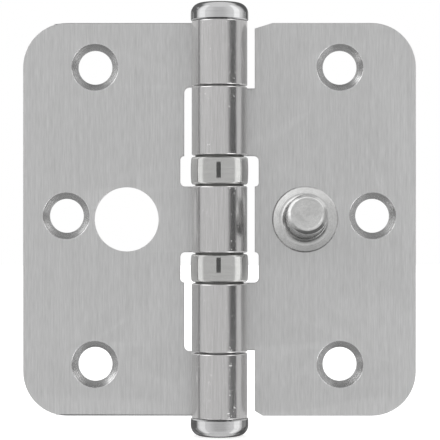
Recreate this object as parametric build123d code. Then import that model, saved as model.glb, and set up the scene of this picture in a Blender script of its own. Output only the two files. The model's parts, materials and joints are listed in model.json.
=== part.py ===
from build123d import *
import math
import os

# Ball bearing hinge, lying open flat. X points from the pin towards the door leaf, Y from the
# front of the leaves towards their backs, Z up along the pin. The origin is on the plane of the
# leaves' backs, behind the middle of the pin. Millimetres.

# Leaves
leaf_height = 89.0
open_width = 89.0
sheet = 2.5
outer_corner = 10.0
edge_break = 0.25

# Barrel: pin, knuckles and the gaps that let it turn
pin_radius = 3.7
pin_clearance = 0.05
end_knuckle = 14.65
middle_knuckle = 14.9
knuckle_gap = 0.1
roll_seam = 0.35
drive_band = 6.0

# Cut-outs beside the barrel
slot_clearance = 1.75
slot_corner = 1.2
notch_clearance = 2.45
notch_corner = 1.1
top_clip = (4.0, 1.25)
bottom_clip = (1.8, 1.1)

# Screw holes, a little above the middle of the leaves
hole_radius = 3.85
countersink_width = 1.45
screw_raise = 0.8
screw_from_end = 10.85
middle_screw_from_edge = 9.8
frame_screw_from_edge = 16.3
door_screw_from_edge = 17.2

# Security stud and the hole that takes it when the hinge is shut
stud_reach = 19.4
stud_height = 12.5
stud_radius = 4.5
stud_lean = 5.5
stud_top_bevel = 0.8
stud_foot_radius = 5.6
flange_radius = 7.5
flange_thickness = 0.7
rivet_radius = 4.0
rivet_flare = 1.0
stud_hole_offset = 1.7
stud_hole_clearance = 2.8

# Ball bearings
bearing_height = 6.9
shell_proud = 0.2
shell_wall = 0.4
shell_lip = 0.5
shell_round = 0.55
shell_end_gap = 0.35
shell_play = 0.05
race_clearance = 0.1
ball_radius = 0.75
ball_count = 12
ball_clearance = 0.03
groove_depth = 0.35
cage_clearance = 0.1
pocket_clearance = 0.05

# Caps pressed on the ends of the pin
cap_proud = 0.2
cap_height = 4.2
cap_corner = 2.4
cap_dome = 0.35
cap_chamfer = 0.3
cap_top_wall = 1.7
spigot_radius = 2.25
spigot_clearance = 0.1

# Radii about the pin
bore_radius = pin_radius + pin_clearance
knuckle_radius = bore_radius + sheet
shell_radius = knuckle_radius + shell_proud
shell_inner = shell_radius - shell_wall
mouth_radius = shell_inner - shell_lip
race_radius = shell_inner - race_clearance
cage_inner = pin_radius + race_clearance
pitch_radius = (cage_inner + race_radius) / 2
cap_radius = knuckle_radius + cap_proud
slot_reach = knuckle_radius + slot_clearance
notch_reach = shell_radius + notch_clearance
roll_angle = 270 + math.degrees(math.asin((bore_radius - roll_seam) / knuckle_radius))

# Levels along the pin and heights
half_height = leaf_height / 2
end_level = half_height - end_knuckle
door_level = end_level - knuckle_gap
bearing_low = middle_knuckle / 2
bearing_high = bearing_low + bearing_height
cage_thickness = 2 * (ball_radius - groove_depth - cage_clearance)
cap_bore_depth = cap_height - cap_top_wall
spigot_length = cap_bore_depth - spigot_clearance

front = Plane.XZ.offset(sheet)
pin_line = Pos(0, -knuckle_radius, 0)


def turned(section):
    """A piece turned about Z, from its section drawn as radius and height."""
    return revolve(Plane.XZ * section, Axis.Z)


def column(radius, height):
    """A cylinder that stands on height 0."""
    return Cylinder(radius, height, align=(Align.CENTER, Align.CENTER, Align.MIN))


def cut_beside_barrel(reach, low, high, corner=0):
    """Sheet removed from the pin's axis out to reach, between two levels."""
    cut = Pos(0, low) * Rectangle(reach, high - low, align=Align.MIN)
    if corner:
        cut = fillet(cut.vertices().group_by(Axis.X)[-1], corner)
    return cut


def bearing_notch(side):
    """The deeper notch beside a bearing: side is 1 above the middle knuckle and -1 below it."""
    low, high = sorted((side * bearing_low, side * bearing_high))
    return cut_beside_barrel(notch_reach, low, high, notch_corner)


def frame_leaf_cuts():
    """Closed slots for the door leaf's two knuckles, each with the notch of its bearing."""
    cuts = []
    for side in (1, -1):
        low, high = sorted((side * bearing_low, side * end_level))
        cuts += [cut_beside_barrel(slot_reach, low, high, slot_corner), bearing_notch(side)]
    return cuts


def corner_clip(side, clip):
    """The slanting cut at a corner of the door leaf, beside an end knuckle."""
    along, down = clip
    top = side * half_height
    inner = (slot_reach, top - side * down)
    return make_face(Polyline((slot_reach, top), (slot_reach + along, top), inner, close=True))


def door_leaf_cuts():
    """A slot for the middle knuckle, and open corners for the end knuckles."""
    cuts = [cut_beside_barrel(slot_reach, -bearing_high, bearing_high)]
    for side, clip in ((1, top_clip), (-1, bottom_clip)):
        low, high = sorted((side * door_level, side * half_height))
        cuts += [cut_beside_barrel(slot_reach, low, high), bearing_notch(side), corner_clip(side, clip)]
    return cuts


def leaf_plate(cuts):
    """The flat of a leaf, all its edges broken but those where the knuckles are rolled from it."""
    outline = Rectangle(open_width / 2, leaf_height, align=(Align.MIN, Align.CENTER))
    outline = fillet(outline.vertices().group_by(Axis.X)[-1], outer_corner)
    for cut in cuts:
        outline -= cut
    plate = extrude(Plane.XZ * outline, sheet)
    faces = plate.faces().sort_by(Axis.Y)
    edges = faces[0].edges() + faces[-1].edges()
    away_from_roll = [edge for edge in edges if edge.center().X > edge_break]
    return chamfer(away_from_roll, edge_break)


def rolled_knuckle(low, high):
    """The edge of the sheet rolled round the pin until its tip nears the front of the leaf."""
    section = Pos(bore_radius, low) * Rectangle(sheet, high - low, align=Align.MIN)
    section = chamfer(section.vertices(), edge_break)
    return pin_line * revolve(Plane.YZ * section, Axis.Z, roll_angle)


def screw_hole():
    """A right-angled countersink and its through hole, with the front of the leaf at height 0."""
    section = Polyline(
        (0, 0),
        (hole_radius + countersink_width, 0),
        (hole_radius, -countersink_width),
        (hole_radius, -sheet),
        (0, -sheet),
        close=True,
    )
    return turned(make_face(section))


def screw_places(outer_from_edge):
    """The three screw centres of a leaf, as distance from the pin's axis and height."""
    edge = open_width / 2
    level = half_height - screw_from_end
    outer = [(edge - outer_from_edge, screw_raise + side * level) for side in (1, -1)]
    return outer + [(edge - middle_screw_from_edge, screw_raise)]


def leaf(cuts, knuckles, outer_screw_from_edge):
    """A leaf drawn to the right of the pin: plate, rolled knuckles and screw holes."""
    body = leaf_plate(cuts)
    for low, high in knuckles:
        body += rolled_knuckle(low, high)
    for reach, height in screw_places(outer_screw_from_edge):
        body -= front * Pos(reach, height, 0) * screw_hole()
    return body


def frame_leaf():
    """The leaf of the door frame, mirrored to the left, with the hole for the stud."""
    knuckles = [(end_level, half_height), (-bearing_low, bearing_low), (-half_height, -end_level)]
    body = leaf(frame_leaf_cuts(), knuckles, frame_screw_from_edge)
    hole = Pos(stud_reach + stud_hole_offset, 0, -sheet) * column(stud_radius + stud_hole_clearance, sheet)
    return mirror(body - front * hole, Plane.YZ)


def rivet():
    """The stud's shank through the leaf, flared flush with the leaf's back."""
    section = Polyline(
        (0, 0),
        (rivet_radius, 0),
        (rivet_radius, rivet_flare - sheet),
        (rivet_radius + rivet_flare, -sheet),
        (0, -sheet),
        close=True,
    )
    return turned(make_face(section))


def door_leaf():
    """The leaf of the door, with the flared hole that holds the stud's rivet."""
    knuckles = [(bearing_high, door_level), (-door_level, -bearing_high)]
    body = leaf(door_leaf_cuts(), knuckles, door_screw_from_edge)
    return body - front * Pos(stud_reach, 0, 0) * rivet()


def stud_flange():
    """The thin washer-like flange that bears on the front of the door leaf."""
    section = Rectangle(flange_radius, flange_thickness, align=Align.MIN)
    rim = section.vertices().group_by(Axis.X)[-1].sort_by(Axis.Y)
    return turned(fillet(rim[-1], flange_thickness / 2))


def stud_post():
    """The post on the flange: a hollow-flared foot, a round shank and a bevelled top."""
    flare = stud_foot_radius - stud_radius
    level = flange_thickness + flare
    outline = Polyline(
        (stud_foot_radius, flange_thickness),
        (stud_foot_radius, 0),
        (0, 0),
        (0, stud_height),
        (stud_radius - stud_top_bevel, stud_height),
        (stud_radius, stud_height - stud_top_bevel),
        (stud_radius, level),
    )
    hollow = RadiusArc((stud_radius, level), (stud_foot_radius, flange_thickness), flare)
    return turned(make_face(outline + hollow))


def security_stud():
    """The stud: rivet, flange and a post that leans a little towards the top of the leaf."""
    above_leaf = column(flange_radius, stud_height + stud_radius)
    post = (Rot(X=-stud_lean) * stud_post()) & above_leaf
    return front * Pos(stud_reach, 0, 0) * (rivet() + stud_flange() + post)


def hinge_pin():
    """The pin, with tight bands in the end knuckles and a spigot at each end for its cap."""
    shaft = Cylinder(pin_radius, leaf_height)
    spigots = Cylinder(spigot_radius, leaf_height + 2 * spigot_length)
    band = Cylinder(bore_radius, drive_band)
    level = half_height - end_knuckle / 2
    return pin_line * (shaft + spigots + Pos(0, 0, level) * band + Pos(0, 0, -level) * band)


def cap():
    """A domed cap with a blind bore, its rim at height 0."""
    dome_edge = cap_height - cap_dome
    dome_radius = (cap_radius**2 + cap_dome**2) / (2 * cap_dome)
    dome = RadiusArc((cap_radius, dome_edge), (0, cap_height), -dome_radius)
    section = make_face(Polyline((0, cap_height), (0, 0), (cap_radius, 0), (cap_radius, dome_edge)) + dome)
    section = fillet(section.vertices().group_by(Axis.X)[-1].sort_by(Axis.Y)[-1], cap_corner)
    section = chamfer(section.vertices().group_by(Axis.X)[-1].sort_by(Axis.Y)[0], cap_chamfer)
    return turned(section) - column(spigot_radius, cap_bore_depth)


def shell():
    """The polished sleeve of a bearing, turned in at both ends over the races' shoulders."""
    height = bearing_height - 2 * shell_end_gap
    outside = Pos(0, shell_end_gap) * Rectangle(shell_radius, height, align=Align.MIN)
    outside = fillet(outside.vertices().group_by(Axis.X)[-1], shell_round)
    inside = Rectangle(shell_inner, height - 2 * shell_wall, align=Align.MIN)
    inside = Pos(0, shell_end_gap + shell_wall) * inside
    mouth = Rectangle(mouth_radius, bearing_height, align=Align.MIN)
    return turned(outside - inside - mouth)


def race():
    """The lower race of a bearing: a neck that stands on the knuckle and a grooved shoulder."""
    neck_height = shell_end_gap + shell_wall + shell_play
    top = bearing_height / 2 - ball_radius + groove_depth
    neck = Rectangle(mouth_radius - race_clearance - bore_radius, top, align=Align.MIN)
    shoulder = Rectangle(race_radius - bore_radius, top - neck_height, align=Align.MIN)
    section = Pos(bore_radius, 0) * neck + Pos(bore_radius, neck_height) * shoulder
    groove = Pos(pitch_radius, bearing_height / 2) * Circle(ball_radius + ball_clearance)
    return turned(section - groove)


def ball_places():
    """The centres of a bearing's balls, evenly spaced round the pitch circle."""
    return PolarLocations(pitch_radius, ball_count)


def cage():
    """The flat ring between the races, with a pocket for each ball."""
    ring = Cylinder(race_radius, cage_thickness) - Cylinder(cage_inner, cage_thickness)
    for place in ball_places():
        ring -= place * Cylinder(ball_radius + pocket_clearance, cage_thickness)
    return Pos(0, 0, bearing_height / 2) * ring


def bearing(prefix, level):
    """The pieces of one bearing, standing on the knuckle below it."""
    seat = pin_line * Pos(0, 0, level)
    middle = Plane.XY.offset(bearing_height / 2)
    pieces = {
        prefix + "_shell": seat * shell(),
        prefix + "_bottom_race": seat * race(),
        prefix + "_top_race": seat * mirror(race(), middle),
        prefix + "_cage": seat * cage(),
    }
    for number, place in enumerate(ball_places(), start=1):
        ball = Pos(0, 0, bearing_height / 2) * place * Sphere(ball_radius)
        pieces[f"{prefix}_ball_{number:02d}"] = seat * ball
    return pieces


def hinge():
    """Every piece of the hinge by name."""
    top_cap = pin_line * Pos(0, 0, half_height) * cap()
    pieces = {
        "frame_leaf": frame_leaf(),
        "door_leaf": door_leaf(),
        "security_stud": security_stud(),
        "hinge_pin": hinge_pin(),
        "top_cap": top_cap,
        "bottom_cap": mirror(top_cap, Plane.XY),
    }
    pieces |= bearing("upper", bearing_low)
    pieces |= bearing("lower", -bearing_high)
    return pieces


os.makedirs("parts", exist_ok=True)
for name, piece in hinge().items():
    export_step(piece, f"parts/{name}.step")
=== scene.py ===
"""Dresses the fixed CAD frame of a ball bearing hinge: brushed steel leaves with rolled knuckles, a
riveted security stud, polished caps and bearing shells, on a pale floor under soft light."""

import json
import math

import bmesh
import bpy
from mathutils import Matrix, Vector
from mathutils.geometry import tessellate_polygon

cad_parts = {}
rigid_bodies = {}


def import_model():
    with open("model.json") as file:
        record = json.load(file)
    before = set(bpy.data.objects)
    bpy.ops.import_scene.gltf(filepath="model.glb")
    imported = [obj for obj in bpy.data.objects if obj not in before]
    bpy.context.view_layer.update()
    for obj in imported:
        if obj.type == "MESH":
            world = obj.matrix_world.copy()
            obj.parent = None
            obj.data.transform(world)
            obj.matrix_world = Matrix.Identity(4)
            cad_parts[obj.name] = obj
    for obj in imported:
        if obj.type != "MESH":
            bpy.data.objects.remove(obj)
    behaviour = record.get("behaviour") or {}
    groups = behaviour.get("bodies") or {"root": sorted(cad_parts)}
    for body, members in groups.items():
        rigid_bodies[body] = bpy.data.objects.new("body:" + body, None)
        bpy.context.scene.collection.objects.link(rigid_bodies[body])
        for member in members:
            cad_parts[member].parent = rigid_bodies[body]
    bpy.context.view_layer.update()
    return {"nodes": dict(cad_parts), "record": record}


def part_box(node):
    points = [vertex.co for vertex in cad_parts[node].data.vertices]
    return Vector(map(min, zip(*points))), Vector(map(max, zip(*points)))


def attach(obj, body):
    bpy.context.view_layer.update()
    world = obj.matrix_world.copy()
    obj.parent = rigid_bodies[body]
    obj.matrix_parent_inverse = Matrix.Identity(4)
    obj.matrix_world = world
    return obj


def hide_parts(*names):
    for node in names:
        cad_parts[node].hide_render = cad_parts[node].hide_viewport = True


bl_info = {
    "name": "Ball bearing hinge",
    "version": (1, 0, 0),
    "blender": (4, 5, 0),
    "location": "3D View > Sidebar > Hinge",
    "description": "Builds the steel pieces of a ball bearing hinge round its CAD frame",
    "category": "Add Mesh",
}

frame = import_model()

leaf_low, leaf_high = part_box("frame_leaf")
door_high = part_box("door_leaf")[1]
cap_low, cap_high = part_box("top_cap")
shell_low, shell_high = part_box("upper_shell")
mounts = {mount["name"]: mount for mount in frame["record"]["mounts"]}

knuckle_radius = (leaf_high.y - leaf_low.y) / 2
pin_line = Vector((0, leaf_high.y - knuckle_radius, 0))
half_height = leaf_high.z
half_width = door_high.x

round_steps = 96
around = [2 * math.pi * i / round_steps for i in range(round_steps)]  # turns of the points on a circle
flare_steps = 10  # rows up the flare at the stud's foot
rivet_room = 0.00003  # clearance of the rivet in its hole
crease = math.radians(38)  # edges that bend more are shaded sharp


# Settings


def length(name, default, description):
    """A size in metres that a user may change."""
    return bpy.props.FloatProperty(
        name=name,
        description=description,
        default=default,
        min=0,
        precision=5,
        subtype="DISTANCE",
        unit="LENGTH",
    )


def angle(name, degrees, description):
    """An angle that a user may change."""
    return bpy.props.FloatProperty(
        name=name, description=description, default=math.radians(degrees), subtype="ANGLE", unit="ROTATION"
    )


def colour(name, default, description):
    """A surface colour that a user may change."""
    return bpy.props.FloatVectorProperty(
        name=name, description=description, default=default, size=3, min=0, max=1, subtype="COLOR"
    )


def share(name, default, description, most=1.0):
    """A plain number that a user may change."""
    return bpy.props.FloatProperty(
        name=name, description=description, default=default, min=0, max=most, subtype="FACTOR"
    )


class LeafSettings(bpy.types.PropertyGroup):
    """Sizes of the two sheet leaves."""

    sheet: length("Sheet", 0.0025, "Thickness of the sheet")
    corner: length("Outer corners", 0.010, "Radius of the outer corners")
    edge: length("Edge rounding", 0.00032, "Radius that breaks the edges of the knuckles")
    slot_reach: length("Slot reach", 0.008, "Depth of the cut-outs beside the barrel, from the pin's axis")
    slot_corner: length("Slot corners", 0.0012, "Radius of the inner corners of the slots")
    notch_reach: length("Notch reach", 0.0089, "Depth of the notches at the bearings, from the pin's axis")
    notch_corner: length("Notch corners", 0.0011, "Radius of the corners of the notches")
    top_clip: length("Top clip", 0.004, "Length of the slanting cut at the door leaf's upper inner corner")
    top_clip_drop: length("Top clip drop", 0.00125, "Depth of that cut")
    bottom_clip: length("Bottom clip", 0.0018, "Length of the slanting cut at the lower inner corner")
    bottom_clip_drop: length("Bottom clip drop", 0.0011, "Depth of that cut")
    countersink: length("Countersink", 0.00145, "Width and depth of the countersinks")
    stud_hole: length("Stud hole", 0.0073, "Radius of the hole that takes the stud")
    stud_hole_reach: length("Stud hole reach", 0.0211, "Distance of that hole from the pin's axis")


class BarrelSettings(bpy.types.PropertyGroup):
    """Sizes of the rolled knuckles, the caps and the bearing shells."""

    end_knuckle: length("End knuckles", 0.01457, "Height of the knuckles at both ends")
    middle_knuckle: length("Middle knuckle", 0.0149, "Height of the middle knuckle")
    bearing: length("Bearing", 0.0069, "Height of a bearing between its knuckles")
    gap: length("Knuckle gap", 0.00026, "Gap between knuckles that meet")
    roll: angle("Roll", 302.96, "Angle through which a knuckle is rolled")
    cap_corner: length("Cap corner", 0.0024, "Radius between the side of a cap and its dome")
    cap_dome: length("Cap dome", 0.00035, "Rise of the dome")
    cap_chamfer: length("Cap chamfer", 0.00024, "Chamfer at the rim of a cap")
    cap_bore: length("Cap bore", 0.00225, "Radius of the bore that takes the pin's spigot")
    cap_bore_depth: length("Cap bore depth", 0.0025, "Depth of that bore")
    shell_wall: length("Shell wall", 0.0004, "Thickness of a bearing's shell")
    shell_lip: length("Shell lip", 0.0005, "Width of the turned-in lips")
    shell_round: length("Shell rounding", 0.00055, "Radius of the shell's outer edges")
    shell_crown: length("Shell crown", 0.0001, "How much the shell narrows from its middle to its ends")


class StudSettings(bpy.types.PropertyGroup):
    """Sizes of the security stud."""

    reach: length("Stud reach", 0.0194, "Distance of the stud from the pin's axis")
    height: length("Stud height", 0.0125, "Height of the post above the leaf")
    radius: length("Shank radius", 0.0045, "Radius of the post's shank")
    foot: length("Foot radius", 0.0058, "Radius of the post's flared foot")
    bevel: length("Top bevel", 0.0008, "Width of the bevel round the top")
    dish: length("Dish", 0.00009, "Depth of the dished top inside its rim")
    lean: angle("Lean", 5.5, "Lean of the post towards the top of the leaf")
    flange: length("Flange radius", 0.0075, "Radius of the thin flange")
    flange_thickness: length("Flange thickness", 0.0007, "Thickness of the flange at the post")
    flange_fall: length("Flange fall", 0.0003, "Fall of the flange's face towards its rim")
    flange_bevel: length("Flange bevel", 0.0003, "Width of the bevel round the flange")
    rivet: length("Rivet radius", 0.004, "Radius of the shank through the leaf")
    rivet_flare: length("Rivet flare", 0.001, "Width and depth of the flare at the leaf's back")


class FinishSettings(bpy.types.PropertyGroup):
    """Colours and gloss of the steels and of the brass cage."""

    leaf: colour("Brushed steel", (0.608, 0.608, 0.608), "Colour of the leaves' flats")
    leaf_gloss: share("Brushed roughness", 0.45, "Roughness of the leaves' flats")
    barrel: colour("Rolled steel", (0.59, 0.583, 0.581), "Colour of the rolled knuckles")
    barrel_gloss: share("Rolled roughness", 0.185, "Roughness of the rolled knuckles")
    countersink: colour("Countersink", (0.60, 0.60, 0.60), "Colour of the turned countersinks")
    cap: colour("Cap steel", (0.59, 0.59, 0.594), "Colour of the polished caps")
    shell: colour("Shell steel", (0.575, 0.574, 0.563), "Colour of the polished shells")
    polished_gloss: share("Polished roughness", 0.05, "Roughness of the caps and shells")
    film: share("Film", 0.8, "Weight of the thin satin film that lights up the steel's edges")
    stud: colour("Stud steel", (0.60, 0.60, 0.595), "Colour of the turned stud")
    stud_gloss: share("Stud roughness", 0.24, "Roughness of the turned stud")
    pin: colour("Pin steel", (0.42, 0.42, 0.42), "Colour of the pin")
    # Painted shade: the races are made dark so that the gaps beside the bearings look shaded.
    race_painted_shade: colour("Race steel", (0.13, 0.13, 0.125), "Colour of the races, dark with old oil")
    ball: colour("Ball steel", (0.66, 0.66, 0.66), "Colour of the balls")
    brass: colour("Cage brass", (0.62, 0.42, 0.17), "Colour of the cages")


class StageSettings(bpy.types.PropertyGroup):
    """Camera, floor and light."""

    distance: length("Camera distance", 0.429, "From the camera to the front of the leaves")
    lens: bpy.props.FloatProperty(name="Lens", description="Focal length", default=155.0, unit="CAMERA")
    floor: length("Floor radius", 1.6, "Radius of the round floor")
    room: share("Room light", 1.0, "Brightness of the pale room", 4)
    front: share("Front light", 0.77, "Brightness of the large soft light round the camera", 4)
    wing: share("Wing lights", 2.4, "Brightness of the soft lights above and below both sides", 4)
    key: share("Key light", 1.5, "Brightness of the soft light above and to the left", 4)
    strip: share("Strip lights", 1.3, "Brightness of the upright lights at both sides", 4)
    slot: share("Slot", 0.15, "Brightness of the dark gap in the front light", 4)
    flag: share("Flags", 0.2, "Brightness of the dark flags behind both sides", 4)


class HingeSettings(bpy.types.PropertyGroup):
    """Everything that a user may change."""

    leaves: bpy.props.PointerProperty(type=LeafSettings, name="Leaves", description="Sizes of the leaves")
    barrel: bpy.props.PointerProperty(type=BarrelSettings, name="Barrel", description="Sizes of the barrel")
    stud: bpy.props.PointerProperty(type=StudSettings, name="Stud", description="Sizes of the stud")
    finishes: bpy.props.PointerProperty(type=FinishSettings, name="Finishes", description="Colours and gloss")
    stage: bpy.props.PointerProperty(type=StageSettings, name="Stage", description="Camera, floor and light")


# Finishes


class Socket:
    """A shader value in an expression. Its operators add Math nodes."""

    def __init__(self, nodes, link):
        self.nodes = nodes
        self.link = link

    def math(self, operation, *values):
        return self.nodes.add("ShaderNodeMath", {"operation": operation}, dict(enumerate(values)))

    def __abs__(self):
        return self.math("ABSOLUTE", self)

    def __add__(self, other):
        return self.math("ADD", self, other)

    def __sub__(self, other):
        return self.math("SUBTRACT", self, other)

    def __rsub__(self, other):
        return self.math("SUBTRACT", other, self)

    def __mul__(self, other):
        return self.math("MULTIPLY", self, other)

    __radd__ = __add__
    __rmul__ = __mul__


class Nodes:
    """The node tree of a finish or of the light, filled node by node."""

    def __init__(self, tree):
        self.tree = tree
        tree.nodes.clear()

    def add(self, kind, settings=None, values=None, output=0):
        """A node of that type: its settings first, then values or links for its sockets."""
        node = self.tree.nodes.new(kind)
        for name, value in (settings or {}).items():
            setattr(node, name, value)
        for name, value in (values or {}).items():
            if isinstance(value, Socket):
                self.tree.links.new(value.link, node.inputs[name])
            else:
                node.inputs[name].default_value = value
        return Socket(self, node.outputs[output]) if node.outputs else None

    def place(self):
        """Where the shaded point is on the piece, in metres."""
        return self.add("ShaderNodeTexCoord", output="Object")

    def parts(self, vector):
        """The three parts of a vector."""
        split = self.add("ShaderNodeSeparateXYZ", values={0: vector})
        return [Socket(self, out) for out in split.link.node.outputs]

    def noise(self, vector, scale, detail, roughness):
        """Noise round 0.5, as fine as scale says."""
        values = {"Vector": vector, "Scale": scale, "Detail": detail, "Roughness": roughness}
        return self.add("ShaderNodeTexNoise", {"noise_dimensions": "3D"}, values)

    def streaks(self, vector, scales, detail, roughness):
        """Noise drawn out into streaks: its fineness along each axis is a number of its own."""
        drawn = self.add("ShaderNodeVectorMath", {"operation": "MULTIPLY"}, {0: vector, 1: scales})
        return self.noise(drawn, 1.0, detail, roughness)

    def smooth(self, value, none, full):
        """0 at none and before it, 1 at full and past it, in either direction, and smooth between."""
        settings = {"interpolation_type": "SMOOTHSTEP"}
        return self.add("ShaderNodeMapRange", settings, {"Value": value, "From Min": none, "From Max": full})

    def tinted(self, shade, tone):
        """A colour made lighter or darker by a tone round 1."""
        vector = shade if isinstance(shade, Socket) else tuple(shade)
        return self.add("ShaderNodeVectorMath", {"operation": "SCALE"}, {0: vector, "Scale": tone})

    def mixed(self, factor, first, second):
        """One colour where the factor is 0 and the other where it is 1."""
        return self.add(
            "ShaderNodeMix",
            {"data_type": "RGBA"},
            {"Factor": factor, "A": (*first, 1.0), "B": (*second, 1.0)},
            output="Result",
        )

    def bump(self, height, depth):
        """A normal that follows a height between 0 and 1, depth metres deep."""
        return self.add("ShaderNodeBump", values={"Height": height, "Distance": depth, "Strength": 1.0})

    def scuff_and_highlight(self, place):
        """How much the point is lightened, in broken stretches along the edges: partly wear, partly a painted
        highlight.
        """
        wear = self.add("ShaderNodeAttribute", {"attribute_name": "wear"}, output="Fac")
        return wear * self.smooth(self.noise(place, 900.0, 3.0, 0.6), 0.40, 0.60)

    def metal(self, base, roughness, normal, film=0.0, haze=0.5):
        """Metal under a thin film, and the output of the finish."""
        values = {"Base Color": base, "Metallic": 1.0, "Roughness": roughness, "Normal": normal}
        values |= {"Coat Weight": film, "Coat Roughness": haze}
        shader = self.add("ShaderNodeBsdfPrincipled", values=values)
        self.add("ShaderNodeOutputMaterial", values={"Surface": shader})


def finish(name):
    """A new material and its empty node tree."""
    material = bpy.data.materials.new(name)
    material.use_nodes = True
    return material, Nodes(material.node_tree)


def leaf_steel(settings):
    """Sheet with upright hairlines on its flats and a smoother, rolled barrel in front of them."""
    flat_ends, barrel_begins = -0.0029, -0.0040  # depths, from the leaves' backs
    pit_edge, pit_floor = 0.68, 0.76  # levels of the noise that places the pits
    material, nodes = finish("leaf steel")
    place = nodes.place()
    barrel = nodes.smooth(nodes.parts(place)[1], flat_ends, barrel_begins)
    hair = nodes.streaks(place, (3600, 3600, 290), 2.0, 0.55)
    grain = nodes.streaks(place, (2300, 2300, 45), 2.0, 0.6)
    patch = nodes.streaks(place, (160, 160, 60), 2.0, 0.5)
    dent = nodes.streaks(place, (700, 700, 160), 2.0, 0.5)
    roll = nodes.streaks(place, (6200, 6200, 90), 2.0, 0.6)
    pit = nodes.smooth(nodes.noise(place, 1700.0, 1.0, 0.5), pit_edge, pit_floor)
    tone = 1 + (hair - 0.5) * (0.36 - barrel * 0.18) + (grain - 0.5) * (0.24 - barrel * 0.16)
    tone = tone + (roll - 0.5) * barrel * 0.34 + (patch - 0.5) * 0.03
    # The barrel's edges are lightened: partly wear, partly a painted highlight.
    tone = tone + nodes.scuff_and_highlight(place) * barrel * 0.12
    base = nodes.mixed(barrel, settings.leaf, settings.barrel)
    rough = settings.leaf_gloss + barrel * (settings.barrel_gloss - settings.leaf_gloss)
    rough = rough + (grain - 0.5) * 0.08 + (patch - 0.5) * 0.05
    height = (hair * 0.6 + grain * 0.4) * (0.3 - barrel * 0.26) + (dent * 0.6 - pit * 0.5) * barrel
    nodes.metal(nodes.tinted(base, tone), rough, nodes.bump(height, 0.00003), settings.film)
    return material


def turned_steel(name, shade, gloss, rings, mottle, depth, film):
    """Steel turned on a lathe: rings follow the reach stored on the piece, with a soft mottle."""
    material, nodes = finish(name)
    place = nodes.place()
    reach = nodes.add("ShaderNodeAttribute", {"attribute_name": "reach"}, output="Fac")
    values = {"W": reach, "Scale": 5200.0, "Detail": 3.0}
    ring = nodes.add("ShaderNodeTexNoise", {"noise_dimensions": "1D"}, values)
    spots = nodes.noise(place, 1500.0, 3.0, 0.6)
    patch = nodes.noise(place, 420.0, 2.0, 0.5)
    scuff_and_highlight = nodes.scuff_and_highlight(place)
    # The edges are lightened and made smoother: partly wear, partly a painted highlight.
    tone = 1 + (ring - 0.5) * rings + (spots - 0.5) * mottle + (patch - 0.5) * mottle + scuff_and_highlight * 0.35
    rough = gloss + (spots - 0.5) * 0.16 + (patch - 0.5) * 0.10 - scuff_and_highlight * 0.08
    nodes.metal(nodes.tinted(shade, tone), rough, nodes.bump(ring * 0.7 + spots * 0.3, depth), film)
    return material


def polished_steel(name, shade, gloss, film=0.0):
    """Bright steel with the faint clouds and hair scratches that handling leaves."""
    material, nodes = finish(name)
    place = nodes.place()
    cloud = nodes.noise(place, 300.0, 3.0, 0.6)
    lines = nodes.streaks(place, (140, 140, 2600), 3.0, 0.6)
    # The edges are lightened: partly wear, partly a painted highlight.
    tone = 1 + (cloud - 0.5) * 0.08 + (lines - 0.5) * 0.24 + nodes.scuff_and_highlight(place) * 0.12
    rough = gloss + (cloud - 0.5) * 0.06 + (lines - 0.5) * 0.05
    normal = nodes.bump(lines * 0.3 + cloud * 0.7, 0.000004)
    nodes.metal(nodes.tinted(shade, tone), rough, normal, film, haze=0.35)
    return material


# Mesh


class Skin:
    """The points and faces of one piece. Each face keeps the number of its finish."""

    def __init__(self):
        self.points = []
        self.reach = []
        self.faces = []
        self.finishes = []

    def row(self, points, reach=0.0):
        """Adds a row of points and returns their numbers."""
        first = len(self.points)
        self.points += [tuple(point) for point in points]
        self.reach += [reach] * len(points)
        return list(range(first, len(self.points)))

    def face(self, corners, number=0):
        self.faces.append(tuple(corners))
        self.finishes.append(number)

    def strip(self, row, other, number=0, skip=()):
        """Faces between two closed rows. A row of one point makes a fan."""
        count = max(len(row), len(other))
        for i in range(count):
            if i in skip:
                continue
            j = (i + 1) % count
            corners = [row[i % len(row)], row[j % len(row)], other[j % len(other)], other[i % len(other)]]
            self.face(dict.fromkeys(corners), number)

    def turn(self, profile, place):
        """A closed profile of (reach, height) turned round the axis that place carries."""
        rows = []
        for reach, height in profile:
            points = [Vector((across, out, height)) for across, out in circle(reach)]
            rows.append(self.row([place @ point for point in points], ring_at(reach, height)))
        for row, other in zip(rows, rows[1:] + rows[:1]):
            if len(row) + len(other) > 2:
                self.strip(row, other)

    def piece(self, name, body, node, slot, finishes, scuff_and_highlight_depth=math.inf):
        """The finished piece, riding on its body in place of its CAD node. Only edges in front of the given
        depth get the wear and painted edge highlight."""
        mesh = bpy.data.meshes.new(name)
        work = bmesh.new()
        layer = work.verts.layers.float.new("reach")
        corners = [work.verts.new(point) for point in self.points]
        for corner, reach in zip(corners, self.reach):
            corner[layer] = reach
        for face, number in zip(self.faces, self.finishes):
            drawn = work.faces.new([corners[i] for i in face])
            drawn.material_index = number
            drawn.smooth = True
        bmesh.ops.recalc_face_normals(work, faces=work.faces)
        mark_scuffs_and_highlights(work, scuff_and_highlight_depth)
        work.to_mesh(mesh)
        work.free()
        mesh.set_sharp_from_angle(angle=crease)
        for material in finishes:
            mesh.materials.append(material)
        made = bpy.data.objects.new(name, mesh)
        bpy.context.scene.collection.objects.link(made)
        even = made.modifiers.new("Even shading", "WEIGHTED_NORMAL")
        even.keep_sharp = True
        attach(made, body)
        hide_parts(node)
        return made


def circle(reach):
    """Points on a circle of that radius, or the one point in its middle."""
    turns = around if reach > 1e-6 else around[:1]
    return [(reach * math.cos(turn), reach * math.sin(turn)) for turn in turns]


def ring_at(reach, height):
    """What the turned rings follow: the reach, and in part the height so that walls have rings too."""
    height_share = 0.37
    return reach + height_share * height


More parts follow.
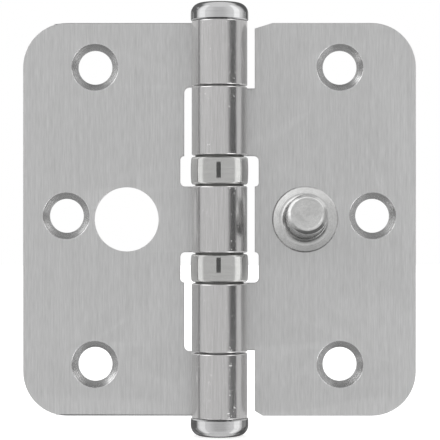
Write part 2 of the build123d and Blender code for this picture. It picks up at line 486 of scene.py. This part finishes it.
def mark_scuffs_and_highlights(work, scuff_and_highlight_depth):
    """Stores how much each point is lightened by wear and a painted edge highlight: 0 on gentle curves and
    behind the given depth, and 1 where the surface turns a corner outwards in about half a millimetre."""
    least_bend = 0.05  # radians between two faces
    sharp, onset = 1500, 0.8  # radians per metre, and the share of it at which the wear and painted highlight begin
    scuff_and_highlight = work.verts.layers.float.new("wear")
    for corner in work.verts:
        bends = []
        for edge in corner.link_edges:
            if len(edge.link_faces) == 2 and edge.calc_face_angle_signed() > least_bend:
                near, far = (face.calc_center_median() for face in edge.link_faces)
                bends.append(edge.calc_face_angle_signed() / (near - far).length)
        wear = max(bends, default=0) / sharp - onset
        corner[scuff_and_highlight] = min(1, max(0, wear)) if corner.co.y < scuff_and_highlight_depth else 0


def rounded(corners, step=math.radians(7)):
    """The closed line through corners (across, up, radius), each turned in an arc of its radius."""
    line = []
    for i, (across, up, radius) in enumerate(corners):
        here = Vector((across, up))
        back = (Vector(corners[i - 1][:2]) - here).normalized()
        on = (Vector(corners[(i + 1) % len(corners)][:2]) - here).normalized()
        if not radius:
            line.append(here)
            continue
        half = back.angle(on) / 2
        centre = here + (back + on).normalized() * radius / math.sin(half)
        start = here + back * radius / math.tan(half) - centre
        end = here + on * radius / math.tan(half) - centre
        sweep = start.angle(end)
        count = max(2, math.ceil(sweep / step))
        for k in range(count + 1):
            part = k / count
            blend = start * math.sin((1 - part) * sweep) + end * math.sin(part * sweep)
            line.append(centre + blend / math.sin(sweep))
    return [point for i, point in enumerate(line) if (point - line[i - 1]).length > 1e-6]


def open_runs(outline):
    """The runs of a leaf's outline that lie on the pin's line, where knuckles are rolled."""
    pairs = zip(outline, outline[1:] + outline[:1])
    return [i for i, (here, on) in enumerate(pairs) if abs(here.x) < 1e-7 and abs(on.x) < 1e-7]


def drawn_in(outline, distance, runs):
    """The outline moved inwards: less away from the knuckles' ends, not at all where they are rolled."""
    away = 0.4  # share of the distance
    count = len(outline)
    sides = []
    for i in range(count):
        along = (outline[(i + 1) % count] - outline[i]).normalized()
        beside = (i + 1) % count in runs or (i - 1) % count in runs
        inwards = 0 if i in runs else 1 if beside else away
        sides.append((Vector((along.y, -along.x)), distance * inwards))
    moved = []
    for i, here in enumerate(outline):
        (first, a), (second, b) = sides[i - 1], sides[i]
        cross = first.x * second.y - first.y * second.x
        if abs(cross) < 1e-4:
            shift = second * b
        else:
            shift = Vector((a * second.y - b * first.y, b * first.x - a * second.x)) / cross
        moved.append(here + shift)
    return moved


def broken_edge(radius, steps=4):
    """How far in and how deep a rounded edge lies, from the face to the wall."""
    turns = [math.pi / 2 * k / steps for k in range(steps + 1)]
    return [(radius * (1 - math.sin(t)), radius * (1 - math.cos(t))) for t in turns]


def hole_profile(radius, sheet, countersink=0.0, edge=0.00008):
    """A hole's (reach, depth) from the front of the sheet to its back, edges broken."""
    wide = radius + countersink
    if countersink:
        mouth = [(wide + edge, 0.0), (wide + edge * 0.35, edge * 0.12), (wide - edge * 0.5, edge * 0.5)]
        throat = [(radius + edge * 0.4, countersink - edge * 0.4), (radius, countersink + edge * 0.8)]
    else:
        mouth = [(radius + inset, depth) for inset, depth in broken_edge(edge * 1.5, 3)]
        throat = []
    back = [(radius + inset, sheet - depth) for inset, depth in reversed(broken_edge(edge, 2))]
    return mouth + throat + back


def leaf_skin(leaves, barrel, outline, side, holes):
    """A leaf with its rolled knuckles. Holes are (reach, height, profile, number of their finish)."""
    skin = Skin()
    runs = open_runs(outline)
    front = leaf_high.y - leaves.sheet
    edge = broken_edge(leaves.edge)
    steps = edge + [(inset, leaves.sheet - depth) for inset, depth in reversed(edge)]
    rows = []
    for inset, depth in steps:
        line = drawn_in(outline, inset, runs)
        rows.append(skin.row([(side * point.x, front + depth, point.y) for point in line]))
    for row, other in zip(rows, rows[1:]):
        skin.strip(row, other, 0, runs)
    front_rows, back_rows = [rows[0]], [rows[-1]]
    for reach, height, profile, number in holes:
        ring = []
        for radius, depth in profile:
            places = circle(radius)
            points = [(side * (reach + across), front + depth, height + up) for across, up in places]
            ring.append(skin.row(points, ring_at(radius, depth)))
        for row, other in zip(ring, ring[1:]):
            skin.strip(row, other, number)
        front_rows.append(ring[0])
        back_rows.append(ring[-1])
    for face in (front_rows, back_rows):
        numbers = [number for row in face for number in row]
        loops = [[Vector((skin.points[number][0], skin.points[number][2])) for number in row] for row in face]
        for corners in tessellate_polygon(loops):
            skin.face([numbers[i] for i in corners])
    for run in runs:
        roll_knuckle(skin, rows, run, side, barrel.roll)
    return skin


def roll_knuckle(skin, rows, run, side, roll):
    """The edge of the sheet carried round the pin from one open run of the outline."""
    on = (run + 1) % len(rows[0])
    section = [row[run] for row in rows] + [row[on] for row in reversed(rows)]
    shape = [(skin.points[number][1] - pin_line.y, skin.points[number][2]) for number in section]
    step = math.radians(2.5)
    steps = math.ceil(roll / step)
    for k in range(1, steps + 1):
        turn = math.pi / 2 + roll * k / steps
        across, out = side * math.cos(turn), math.sin(turn)
        row = skin.row([(across * radius, pin_line.y + out * radius, level) for radius, level in shape])
        skin.strip(section, row)
        section = row
    skin.face(section)


def frame_outline(leaves, barrel):
    """The outline of the frame leaf, drawn to the right of the pin, from its outer top corner."""
    end, middle = half_height - barrel.end_knuckle, barrel.middle_knuckle / 2
    bearing = middle + barrel.bearing
    step = leaves.notch_reach - leaves.slot_reach
    upper = [
        (0, middle, 0),
        (leaves.notch_reach, middle, leaves.notch_corner),
        (leaves.notch_reach, bearing, step),
        (leaves.slot_reach, bearing, 0),
        (leaves.slot_reach, end, leaves.slot_corner),
        (0, end, 0),
        (0, half_height, 0),
    ]
    lower = [(across, -up, radius) for across, up, radius in reversed(upper)]
    outer = [(half_width, half_height, leaves.corner), (half_width, -half_height, leaves.corner)]
    return rounded(outer + lower + upper)


def door_outline(leaves, barrel):
    """The outline of the door leaf, from its outer top corner."""
    end, middle = half_height - barrel.end_knuckle - barrel.gap, barrel.middle_knuckle / 2
    bearing = middle + barrel.bearing
    step = leaves.notch_reach - leaves.slot_reach
    slot = leaves.slot_reach

    def half(side, clip, drop):
        corners = [
            (slot, middle, 0),
            (leaves.notch_reach, middle, step),
            (leaves.notch_reach, bearing, leaves.notch_corner),
            (0, bearing, 0),
            (0, end, 0),
            (slot, end, 0),
            (slot, half_height - drop, 0),
            (slot + clip, half_height, 0),
        ]
        return [(across, side * up, radius) for across, up, radius in corners]

    upper = half(1, leaves.top_clip, leaves.top_clip_drop)
    lower = half(-1, leaves.bottom_clip, leaves.bottom_clip_drop)
    outer = [(half_width, half_height, leaves.corner), (half_width, -half_height, leaves.corner)]
    return rounded(outer + lower[::-1] + upper)


def screw_holes(leaves, side):
    """The three countersunk holes of a leaf, from the places that the record gives."""
    pair, single = mounts[side + "_outer_screws"], mounts[side + "_middle_screw"]
    radius = pair["dims"]["hole_r_mm"] / 1000
    apart = pair["dims"]["spacing_y_mm"] / 2000
    x, _, z = pair["pos_m"]
    places = [(abs(x), z + apart), (abs(x), z - apart), (abs(single["pos_m"][0]), single["pos_m"][2])]
    profile = hole_profile(radius, leaves.sheet, leaves.countersink)
    return [(reach, height, profile, 1) for reach, height in places]


def stud_skin(stud, sheet):
    """Flange, leaning post and rivet in one skin."""
    skin = Skin()
    foot = Vector((stud.reach, leaf_high.y - sheet, 0))
    upright = Matrix.Translation(foot) @ Matrix.Rotation(math.pi / 2, 4, "X")
    leaning = Matrix.Translation(foot) @ Matrix.Rotation(math.pi / 2 - stud.lean, 4, "X")
    flare = stud.foot - stud.radius
    face = stud.flange_thickness
    level = face + flare * 2
    ring_step, skirt = 0.0002, 0.00025
    flares = [flare_line(stud, turn, flare, face) for turn in around]
    rows = []
    for k in range(flare_steps + 1):
        rows.append(skin.row([upright @ line[k] for line in flares], stud.foot + ring_step * k))
    rim_width, dish_slope = 0.00025, 0.00035
    rim = stud.radius - stud.bevel
    bottom = stud.height - stud.dish
    top = [
        (0, level, 0),
        (stud.radius, level, 0),
        (stud.radius, stud.height - stud.bevel, 0.0005),
        (rim, stud.height, 0.0002),
        (rim - rim_width, stud.height, 0.0002),
        (rim - rim_width - dish_slope, bottom, 0.0004),
        (0, bottom, 0),
    ]
    for reach, height in rounded(top)[2:]:
        rise = max(0, height - bottom)
        points = []
        for turn, (across, up) in zip(around, circle(reach)):
            points.append(leaning @ Vector((across, up, height - rise * hammered(turn))))
        rows.append(skin.row(points, ring_at(reach, height)))
    fallen, bevel = face - stud.flange_fall, stud.flange_bevel
    seat = 0.00001  # the flange stands this clear of the leaf
    flange = [
        (0, fallen, 0),
        (stud.flange - bevel, fallen, 0.0001),
        (stud.flange, fallen - bevel * 0.85, 0.00006),
        (stud.flange, seat, 0),
        (stud.rivet, seat, 0),
        (stud.rivet, stud.rivet_flare - sheet, 0),
        (stud.rivet + stud.rivet_flare - rivet_room, -sheet, 0.00005),
        (0, -sheet, 0),
    ]
    below = []
    for reach, height in [(stud.foot + skirt, face)] + rounded(flange)[1:]:
        points = [upright @ Vector((across, up, height)) for across, up in circle(reach)]
        below.append(skin.row(points, ring_at(reach, height)))
    rows = below[::-1] + rows
    for row, other in zip(rows, rows[1:]):
        skin.strip(row, other)
    return skin


def hammered(turn):
    """The share by which the rim round the stud's top is beaten down at that turn."""
    one_sided = 0.43 * math.cos(turn - 3.6)
    blows = 0.07 * math.sin(8 * turn + 2.1) + 0.05 * math.sin(19 * turn)
    return 0.45 + one_sided + blows


def flare_line(stud, turn, flare, face):
    """The flare from the flange's face up the leaning post at that turn, in the flange's own frame."""
    lean = Matrix.Rotation(-stud.lean, 4, "X")
    wall = lean @ Vector((stud.radius * math.cos(turn), stud.radius * math.sin(turn), 0))
    climb = lean @ Vector((0, 0, 1))
    corner = wall + climb * (face - wall.z) / climb.z
    start = corner + Vector((math.cos(turn), math.sin(turn), 0)) * flare
    end = corner + climb * flare
    roundness = 0.5523  # makes the curve a quarter circle where the post stands upright
    line = []
    for k in range(flare_steps + 1):
        part = k / flare_steps
        rest = 1 - part
        pull = 3 * rest * part * roundness
        point = start * (rest**3 + 3 * rest**2 * part - pull * rest)
        point += end * (part**3 + 3 * rest * part**2 - pull * part)
        line.append(point + corner * pull)
    return line


def cap_profile(barrel):
    """A domed cap with a blind bore, its rim at height 0."""
    radius = (cap_high.x - cap_low.x) / 2
    height = cap_high.z - cap_low.z
    sphere = (radius**2 + barrel.cap_dome**2) / (2 * barrel.cap_dome)
    centre = height - sphere
    reaches = (0, 0.001, 0.002, 0.003, 0.0038)
    dome = [(reach, centre + math.sqrt(sphere**2 - reach**2), 0) for reach in reaches]
    side = [
        (radius, height - barrel.cap_dome, barrel.cap_corner),
        (radius, barrel.cap_chamfer, 0.0001),
        (radius - barrel.cap_chamfer, 0, 0.0001),
        (barrel.cap_bore, 0, 0),
        (barrel.cap_bore, barrel.cap_bore_depth, 0),
        (0, barrel.cap_bore_depth, 0),
    ]
    return rounded(dome + side, math.radians(5))


def shell_profile(barrel):
    """A sleeve turned in at both ends, its middle at height 0."""
    radius = (shell_high.x - shell_low.x) / 2
    half = (shell_high.z - shell_low.z) / 2
    inner = radius - barrel.shell_wall
    mouth = inner - barrel.shell_lip
    floor = half - barrel.shell_wall
    end_band, steps = 0.0007, 4
    wall = half - end_band
    upper = []
    for k in range(1, steps + 1):
        upper.append((radius - barrel.shell_crown * (k / steps) ** 2, wall * k / steps, 0))
    upper += [
        (radius - barrel.shell_crown * (half / wall) ** 2, half, barrel.shell_round),
        (mouth, half, 0.00008),
        (mouth, floor, 0.00008),
        (inner, floor, 0.0001),
    ]
    lower = [(across, -up, size) for across, up, size in reversed(upper)]
    return rounded([(radius, 0, 0)] + upper + lower, math.radians(6))


def along_pin(level, flip=False):
    """The place of a turned piece on the pin, upside down where flip says so."""
    place = Matrix.Translation((0, pin_line.y, level))
    return place @ Matrix.Rotation(math.pi, 4, "X") if flip else place


def dress(names, material):
    """Gives CAD nodes that stay a finish."""
    for name in names:
        mesh = frame["nodes"][name].data
        mesh.materials.clear()
        mesh.materials.append(material)


# Operators


class HINGE_OT_leaves(bpy.types.Operator):
    """Builds both leaves with their rolled knuckles"""

    bl_idname = "hinge.leaves"
    bl_label = "Leaves"

    def execute(self, context):
        hinge = context.scene.hinge
        leaves, barrel, stud = hinge.leaves, hinge.barrel, hinge.stud
        look = hinge.finishes
        steel = leaf_steel(look)
        cut = {"gloss": 0.25, "rings": 0.16, "mottle": 0.08, "depth": 0.00002, "film": 0.0}
        sunk = turned_steel("countersink steel", look.countersink, **cut)
        hole = hole_profile(leaves.stud_hole, leaves.sheet)
        holes = screw_holes(leaves, "frame") + [(leaves.stud_hole_reach, 0, hole, 0)]
        skin = leaf_skin(leaves, barrel, frame_outline(leaves, barrel), -1, holes)
        skin.piece("frame_leaf_sheet", "frame_side", "frame_leaf", "brushed_leaf", [steel, sunk])
        bore = stud.rivet + rivet_room
        rivet = [
            (bore, 0),
            (bore, leaves.sheet - stud.rivet_flare),
            (bore + stud.rivet_flare, leaves.sheet),
        ]
        holes = screw_holes(leaves, "door") + [(stud.reach, 0, rivet, 0)]
        skin = leaf_skin(leaves, barrel, door_outline(leaves, barrel), 1, holes)
        skin.piece("door_leaf_sheet", "door_side", "door_leaf", "brushed_leaf", [steel, sunk])
        return {"FINISHED"}


class HINGE_OT_stud(bpy.types.Operator):
    """Builds the security stud with its flange and rivet"""

    bl_idname = "hinge.stud"
    bl_label = "Security stud"

    def execute(self, context):
        hinge = context.scene.hinge
        look = hinge.finishes
        cut = {"rings": 0.10, "mottle": 0.30, "depth": 0.000016, "film": look.film * 0.5}
        steel = turned_steel("stud steel", look.stud, look.stud_gloss, **cut)
        skin = stud_skin(hinge.stud, hinge.leaves.sheet)
        # Only the post's front half, towards its top, gets the wear and painted edge highlight.
        front = leaf_high.y - hinge.leaves.sheet - hinge.stud.height / 2
        skin.piece("security_stud_turned", "door_side", "security_stud", "stud_steel", [steel], front)
        return {"FINISHED"}


class HINGE_OT_caps(bpy.types.Operator):
    """Builds the two polished caps and finishes the pin"""

    bl_idname = "hinge.caps"
    bl_label = "Caps and pin"

    def execute(self, context):
        hinge = context.scene.hinge
        look = hinge.finishes
        bright = polished_steel("cap steel", look.cap, look.polished_gloss, look.film)
        for node, level, flip in (("top_cap", cap_low.z, False), ("bottom_cap", -cap_low.z, True)):
            skin = Skin()
            skin.turn(cap_profile(hinge.barrel), along_pin(level, flip))
            skin.piece(node + "_polished", "frame_side", node, "polished_steel", [bright])
        dress(["hinge_pin"], polished_steel("pin steel", look.pin, 0.2))
        return {"FINISHED"}


class HINGE_OT_bearings(bpy.types.Operator):
    """Builds the bearing shells and finishes races, cages and balls"""

    bl_idname = "hinge.bearings"
    bl_label = "Ball bearings"

    def execute(self, context):
        hinge = context.scene.hinge
        look = hinge.finishes
        bright = polished_steel("shell steel", look.shell, look.polished_gloss, look.film)
        level = (shell_low.z + shell_high.z) / 2
        for node, body, side in (("upper_shell", "frame_side", 1), ("lower_shell", "door_side", -1)):
            skin = Skin()
            skin.turn(shell_profile(hinge.barrel), along_pin(side * level))
            skin.piece(node + "_polished", body, node, "polished_steel", [bright])
        races = [name for name in frame["nodes"] if name.endswith("_race")]
        cages = [name for name in frame["nodes"] if name.endswith("_cage")]
        balls = [name for name in frame["nodes"] if "_ball_" in name]
        # Painted shade: the dark races darken the gaps between the knuckles and the shells.
        dress(races, polished_steel("race steel", look.race_painted_shade, 0.3))
        dress(cages, polished_steel("cage brass", look.brass, 0.25))
        dress(balls, polished_steel("ball steel", look.ball, 0.04))
        return {"FINISHED"}


class HINGE_OT_stage(bpy.types.Operator):
    """Sets up the camera, the pale floor and the soft light"""

    bl_idname = "hinge.stage"
    bl_label = "Stage"

    def execute(self, context):
        hinge = context.scene.hinge
        add_camera(hinge.stage, hinge.leaves.sheet)
        add_floor(hinge.stage)
        add_tents(hinge.stage)
        add_room(hinge.stage)
        context.scene.view_settings.view_transform = "Standard"
        return {"FINISHED"}


def add_camera(stage, sheet):
    """The camera looks square at the front of the open hinge."""
    lens = bpy.data.cameras.new("camera")
    lens.lens = stage.lens
    lens.sensor_width = 36
    lens.clip_start = 0.01
    camera = bpy.data.objects.new("camera", lens)
    across, up = 0.00011, -0.00015
    camera.location = (across, leaf_high.y - sheet - stage.distance, up)
    camera.rotation_euler = (math.pi / 2, 0, 0)
    bpy.context.scene.collection.objects.link(camera)
    bpy.context.scene.camera = camera


def add_stage_mesh(name, work, material):
    """A mesh of the stage from a bmesh."""
    mesh = bpy.data.meshes.new(name)
    work.to_mesh(mesh)
    work.free()
    mesh.materials.append(material)
    made = bpy.data.objects.new(name, mesh)
    bpy.context.scene.collection.objects.link(made)
    return made


def add_floor(stage):
    """A round pale floor under the lower cap."""
    glow = 0.55
    material, nodes = finish("floor")
    cloud = nodes.noise(nodes.place(), 6.0, 2.0, 0.5)
    values = {"Base Color": nodes.tinted((0.9, 0.9, 0.9), 1 + (cloud - 0.5) * 0.02), "Roughness": 0.9}
    values |= {"Emission Color": (1, 1, 1, 1), "Emission Strength": glow}
    shader = nodes.add("ShaderNodeBsdfPrincipled", values=values)
    nodes.add("ShaderNodeOutputMaterial", values={"Surface": shader})
    work = bmesh.new()
    bmesh.ops.create_circle(work, cap_ends=True, segments=128, radius=stage.floor)
    floor = add_stage_mesh("floor", work, material)
    floor.location = (0, 0, -cap_high.z)
    floor.visible_glossy = False


class Tent(Nodes):
    """The soft light that some pieces mirror, laid out by direction as seen from the hinge."""

    def __init__(self, name, radius, pieces, brightness):
        material, _ = finish(name)
        super().__init__(material.node_tree)
        self.light = brightness
        self.toward = self.add("ShaderNodeVectorMath", {"operation": "NORMALIZE"}, {0: self.place()})
        across, away, up = self.parts(self.toward)
        turn = self.add("ShaderNodeMath", {"operation": "ARCTAN2"}, {0: across, 1: away * -1})
        rise = self.add("ShaderNodeMath", {"operation": "ARCSINE"}, {0: up})
        self.azimuth, self.level = turn * math.degrees(1), rise * math.degrees(1)
        self.sideways, self.height = abs(self.azimuth), abs(self.level)
        work = bmesh.new()
        bmesh.ops.create_uvsphere(work, u_segments=64, v_segments=32, radius=radius)
        made = add_stage_mesh(name, work, material)
        made.visible_camera = made.visible_diffuse = made.visible_shadow = False
        lit = bpy.data.collections.new(name + " pieces")
        for piece in pieces:
            lit.objects.link(piece)
        made.light_linking.receiver_collection = lit

    def between(self, value, low, high, soft):
        """1 from low to high and 0 outside, with soft ends."""
        return self.smooth(value, low - soft, low + soft) * self.smooth(value, high + soft, high - soft)

    def panel(self, sides, heights, soft):
        """An upright panel from one azimuth and height to others."""
        return self.between(self.azimuth, *sides, soft) * self.between(self.level, *heights, soft)

    def disc(self, azimuth, level, radius, soft):
        """A round patch centred on an azimuth and height."""
        turn, rise = math.radians(azimuth), math.radians(level)
        centre = (math.cos(rise) * math.sin(turn), -math.cos(rise) * math.cos(turn), math.sin(rise))
        vectors = {0: self.toward, 1: centre}
        near = self.add("ShaderNodeVectorMath", {"operation": "DOT_PRODUCT"}, vectors, "Value")
        rim = [math.cos(math.radians(radius + side * soft)) for side in (1, -1)]
        return self.smooth(near, *rim)

    def lay(self, patch, brightness):
        """Lays a patch of that brightness over what is there."""
        self.light = (1 - patch) * self.light + patch * brightness

    def close(self):
        """The light shines on its own pieces and lets the other tents through."""
        values = {"Base Color": (0, 0, 0, 1), "Specular IOR Level": 0.0, "Emission Strength": 1.0}
        glow = self.add("ShaderNodeBsdfPrincipled", values=values | {"Emission Color": self.light})
        clear = self.add("ShaderNodeBsdfTransparent")
        both = self.add("ShaderNodeAddShader", values={0: glow, 1: clear})
        self.add("ShaderNodeOutputMaterial", values={"Surface": both})


def add_tents(stage):
    """One light tent for each kind of steel, as a studio sets flags and strips for each."""
    made = bpy.data.objects
    shells = [made["upper_shell_polished"], made["lower_shell_polished"]]
    leaves = [made["frame_leaf_sheet"], made["door_leaf_sheet"], *frame["nodes"].values()]
    light_leaves(stage, Tent("leaf tent", 3.0, leaves, stage.front))
    light_stud(stage, Tent("stud tent", 3.1, [made["security_stud_turned"]], stage.front))
    light_cap(stage, Tent("top cap tent", 3.2, [made["top_cap_polished"]], stage.front * 0.92), 1)
    light_cap(stage, Tent("bottom cap tent", 3.3, [made["bottom_cap_polished"]], stage.front * 0.82), -1)
    light_shells(stage, Tent("shell tent", 3.4, shells, stage.front * 0.9))


def light_leaves(stage, tent):
    """Even light with one dark slot for the rolled knuckles, and brighter wings that only satin gathers."""
    front, dim = stage.front, 0.25
    wings = tent.between(tent.height, 15, 46, 4) * tent.between(tent.sideways, 38, 88, 7)
    slanting = tent.smooth(tent.azimuth * tent.level, 500, -500)
    right = tent.smooth(tent.azimuth, -20, 20)
    tent.lay(wings, stage.wing * (0.8 + slanting * 0.4) * (0.95 + right * 0.37))
    tent.lay(tent.smooth(tent.level, 50, 64), front * 0.35)
    tent.lay(tent.smooth(tent.level, -50, -64), front * 0.4)
    tent.lay(tent.disc(-90, -45, 26, 8), dim)
    left_line = tent.between(tent.azimuth, -98, -89, 3.5) * tent.smooth(tent.height, 45, 38)
    tent.lay(left_line, front * 0.2)
    for level in (38, -38):
        tent.lay(tent.disc(92, level, 24, 8), front * 0.8)
    slot = tent.smooth(tent.azimuth, 28.5, 50) * tent.smooth(tent.azimuth, 80, 68)
    tent.lay(slot * tent.smooth(tent.height, 12.8, 11.2), stage.slot * 0.62)
    tent.close()


def light_stud(stage, tent):
    """A key light from the upper left and a darker ground."""
    front = stage.front
    left = tent.smooth(tent.azimuth, -14, -26) * tent.smooth(tent.height, 18, 12)
    tent.lay(tent.smooth(tent.level, 15, 26), front * 1.45)
    tent.lay(tent.smooth(tent.level, -12, -24), front * 0.72)
    tent.lay(left, front * 1.18)
    tent.lay(tent.smooth(tent.level, -37, -52), front * 0.2)
    tent.lay(tent.disc(80, -40, 36, 8), front * 0.25)
    tent.lay(tent.disc(-60, 40, 40, 6), stage.key * 1.1)
    tent.lay(tent.disc(0, 90, 26, 8), front * 0.9)
    tent.lay(tent.disc(90, 0, 26, 8), front * 0.7)
    tent.close()


def light_cap(stage, tent, side):
    """Light that grows towards two strips, with dark flags and a flecked room behind them."""
    strip, flag = stage.strip * (0.95 + 0.05 * side), stage.flag
    tent.lay(tent.smooth(tent.sideways, 10, 56), strip * 0.76)
    tent.lay(tent.smooth(tent.height, 36, 60), strip * 0.7)
    tent.lay(tent.panel((-88, -60), (-60, 60), 3), strip)
    tent.lay(tent.panel((60, 88), (-60, 60), 3), strip * 1.09)
    low = tent.smooth(tent.height, 62, 46)
    tent.lay(low * tent.smooth(tent.azimuth, -91, -108), flag * 0.8)
    tent.lay(low * tent.smooth(tent.azimuth, 94, 120 + 10 * side), flag * 0.6)
    fleck = tent.smooth(tent.noise(tent.toward, 2.6, 2.0, 0.6), 0.53, 0.60)
    tent.lay(low * fleck * tent.smooth(tent.sideways, 96, 106), stage.front * (0.7 + 0.25 * side))
    tent.lay(low * tent.smooth(tent.sideways, 142, 165), flag * 0.6)
    tent.lay(tent.disc(0, -90 * side, 73, 7), flag * 0.3)
    tent.close()


def light_shells(stage, tent):
    """The front light with a strip at each side and the mark of the lens in the middle."""
    left_strip = tent.smooth(tent.azimuth, -99, -95) * tent.smooth(tent.azimuth, -64, -78)
    right_strip = tent.smooth(tent.azimuth, 59, 73) * tent.smooth(tent.azimuth, 95, 91)
    lens = tent.panel((-12.5, 5.5), (-5.4, 9.4), 0.6)
    tent.lay(tent.smooth(tent.sideways, 96, 100), stage.front)
    tent.lay(left_strip, stage.strip * 0.88)
    tent.lay(right_strip, stage.strip * 0.98)
    tent.lay(tent.panel((-104, -97.5), (-40, 40), 1.2), stage.front * 0.3)
    tent.lay(tent.smooth(tent.sideways, 140, 150), stage.flag)
    tent.lay(tent.smooth(tent.height, 46, 62), stage.flag * 0.7)
    tent.lay(lens, stage.slot * 0.77)
    tent.close()


def add_room(stage):
    """The pale room round the stage."""
    world = bpy.data.worlds.new("room")
    world.use_nodes = True
    nodes = Nodes(world.node_tree)
    shade = nodes.add("ShaderNodeBackground", values={"Color": (1, 1, 1, 1), "Strength": stage.room})
    nodes.add("ShaderNodeOutputWorld", values={"Surface": shade})
    bpy.context.scene.world = world
    world.cycles_visibility.glossy = False


class HINGE_PT_sidebar(bpy.types.Panel):
    """Lists the pieces of the hinge and their settings"""

    bl_idname = "HINGE_PT_sidebar"
    bl_label = "Ball bearing hinge"
    bl_space_type = "VIEW_3D"
    bl_region_type = "UI"
    bl_category = "Hinge"

    def draw(self, context):
        for maker in operators:
            self.layout.operator(maker.bl_idname)
        hinge = context.scene.hinge
        for group in (hinge.leaves, hinge.barrel, hinge.stud, hinge.finishes, hinge.stage):
            box = self.layout.box()
            for name in group.bl_rna.properties.keys():
                if name not in ("rna_type", "name"):
                    box.prop(group, name)


operators = (HINGE_OT_leaves, HINGE_OT_stud, HINGE_OT_caps, HINGE_OT_bearings, HINGE_OT_stage)
groups = (LeafSettings, BarrelSettings, StudSettings, FinishSettings, StageSettings, HingeSettings)


def register():
    for kind in groups + operators + (HINGE_PT_sidebar,):
        bpy.utils.register_class(kind)
    bpy.types.Scene.hinge = bpy.props.PointerProperty(type=HingeSettings)


def unregister():
    del bpy.types.Scene.hinge
    for kind in reversed(groups + operators + (HINGE_PT_sidebar,)):
        bpy.utils.unregister_class(kind)


def main():
    """Builds everything in order."""
    register()
    bpy.ops.hinge.leaves()
    bpy.ops.hinge.stud()
    bpy.ops.hinge.caps()
    bpy.ops.hinge.bearings()
    bpy.ops.hinge.stage()
    bpy.context.view_layer.update()


if __name__ == "__main__":
    main()
